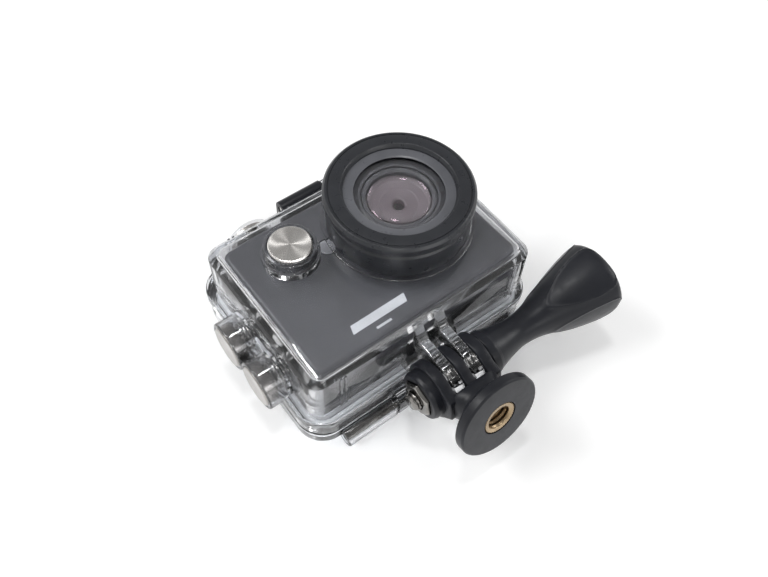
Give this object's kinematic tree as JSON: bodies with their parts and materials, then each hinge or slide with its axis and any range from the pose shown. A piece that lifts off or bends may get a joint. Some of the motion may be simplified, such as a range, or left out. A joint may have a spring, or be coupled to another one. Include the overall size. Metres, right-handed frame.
{
  "type": "action camera",
  "caption": "Small block-shaped action camera in a clear dive housing with a round lens port, metal push buttons, a hinged back door, a latch and a tripod adapter on a thumb screw.",
  "frame": {"origin": "in the back door's outer face, under the middle of the camera body; the object lies on its back", "axes": "+X towards the thumb screw's handle, +Y towards the camera's top and latch, +Z the way the lens looks"},
  "size_m": [0.0865, 0.0838, 0.0397],
  "materials": {
    "clear_polycarbonate": "clear polished moulding",
    "port_glass": "flat polished window",
    "lens_glass": "coated convex glass",
    "screen_glass": "dark tinted cover glass",
    "black_plastic": "satin black moulding",
    "port_black": "fine satin black",
    "slate_plastic": "dark slate grey front cover",
    "camera_black": "fine textured black",
    "silicone": "translucent pale silicone",
    "black_rubber": "soft matt rubber",
    "spun_steel": "spun metal cap",
    "bright_steel": "plated steel",
    "brass": "knurled brass",
    "grille_metal": "perforated disc",
    "circuit_board": "solder mask",
    "battery_wrap": "shrink wrap",
    "chip_black": "moulded package",
    "tinned_metal": "tinned can",
    "display_black": "unlit display",
    "indicator_blue": "translucent light pipe"
  },
  "bodies": {
    "housing": {"front_shell": "clear_polycarbonate", "lens_port_barrel": "port_black", "lens_port_ring": "port_black", "port_window": "port_glass", "port_seal": "black_rubber", "hinge_pin": "bright_steel", "latch_pin": "bright_steel", "power_seal": "black_rubber", "shutter_seal": "black_rubber", "up_seal": "black_rubber", "down_seal": "black_rubber", "power_spring": "bright_steel", "shutter_spring": "bright_steel", "up_spring": "bright_steel", "down_spring": "bright_steel", "camera_front_cover": "slate_plastic", "camera_rear_cover": "camera_black", "microphone_grille": "grille_metal", "battery_door": "camera_black", "screen_window": "screen_glass", "status_light": "indicator_blue", "lens_barrel": "camera_black", "lens_bezel": "camera_black", "lens_front_element": "lens_glass", "aperture_plate": "camera_black", "lens_rear_element": "lens_glass", "image_sensor": "display_black", "sensor_board": "circuit_board", "main_board": "circuit_board", "processor": "chip_black", "battery": "battery_wrap", "screen_panel": "display_black", "usb_socket": "tinned_metal", "hdmi_socket": "tinned_metal", "card_socket": "tinned_metal", "memory_card": "chip_black", "speaker": "tinned_metal"},
    "door": {"back_door": "clear_polycarbonate", "door_gasket": "silicone", "door_pad_upper": "black_rubber", "door_pad_lower": "black_rubber"},
    "latch": {"latch": "black_plastic"},
    "power_push": {"power_plunger": "spun_steel"},
    "shutter_push": {"shutter_plunger": "spun_steel"},
    "up_push": {"up_plunger": "spun_steel"},
    "down_push": {"down_plunger": "spun_steel"},
    "power_key": {"power_button": "slate_plastic"},
    "shutter_key": {"shutter_button": "camera_black"},
    "up_key": {"up_button": "camera_black"},
    "down_key": {"down_button": "camera_black"},
    "adapter": {"tripod_adapter": "black_plastic", "thread_insert": "brass", "lock_nut": "bright_steel"},
    "thumb_screw": {"bolt_shaft": "bright_steel", "knob": "black_plastic"}
  },
  "joints": [
    {"name": "door_open", "type": "hinge", "parent": "housing", "child": "door", "pos_m": [0, -0.0275, 0.0031], "axis": [-1, 0, 0], "range_deg": [0, 105]},
    {"name": "latch_open", "type": "hinge", "parent": "housing", "child": "latch", "pos_m": [0, 0.0271, 0.0212], "axis": [1, 0, 0], "range_deg": [0, 70]},
    {"name": "power_press", "type": "slide", "parent": "housing", "child": "power_push", "axis": [0, 0, -1], "range_m": [0, 0.0012], "stiffness_N_per_m": 400, "springref_m": -0.0008, "deforming": ["power_spring"]},
    {"name": "shutter_press", "type": "slide", "parent": "housing", "child": "shutter_push", "axis": [0, -1, 0], "range_m": [0, 0.0012], "stiffness_N_per_m": 400, "springref_m": -0.0008, "deforming": ["shutter_spring"]},
    {"name": "up_press", "type": "slide", "parent": "housing", "child": "up_push", "axis": [1, 0, 0], "range_m": [0, 0.0012], "stiffness_N_per_m": 400, "springref_m": -0.0008, "deforming": ["up_spring"]},
    {"name": "down_press", "type": "slide", "parent": "housing", "child": "down_push", "axis": [1, 0, 0], "range_m": [0, 0.0012], "stiffness_N_per_m": 400, "springref_m": -0.0008, "deforming": ["down_spring"]},
    {"name": "power_key_press", "type": "slide", "parent": "housing", "child": "power_key", "axis": [0, 0, -1], "range_m": [0, 0.0012], "stiffness_N_per_m": 100, "springref_m": -0.0005},
    {"name": "shutter_key_press", "type": "slide", "parent": "housing", "child": "shutter_key", "axis": [0, -1, 0], "range_m": [0, 0.0012], "stiffness_N_per_m": 100, "springref_m": -0.0005},
    {"name": "up_key_press", "type": "slide", "parent": "housing", "child": "up_key", "axis": [1, 0, 0], "range_m": [0, 0.0012], "stiffness_N_per_m": 100, "springref_m": -0.0005},
    {"name": "down_key_press", "type": "slide", "parent": "housing", "child": "down_key", "axis": [1, 0, 0], "range_m": [0, 0.0012], "stiffness_N_per_m": 100, "springref_m": -0.0005},
    {"name": "adapter_tilt", "type": "hinge", "parent": "housing", "child": "adapter", "pos_m": [-0.0008, -0.0342, 0.0158], "axis": [1, 0, 0], "range_deg": [-73, 45]},
    {"name": "thumb_screw_turn", "type": "hinge", "parent": "adapter", "child": "thumb_screw", "pos_m": [-0.0008, -0.0342, 0.0158], "axis": [1, 0, 0], "continuous": true}
  ],
  "couplings": [
    {"joint": "power_key_press", "follows": "power_press", "ratio": 1},
    {"joint": "shutter_key_press", "follows": "shutter_press", "ratio": 1},
    {"joint": "up_key_press", "follows": "up_press", "ratio": 1},
    {"joint": "down_key_press", "follows": "down_press", "ratio": 1}
  ]
}
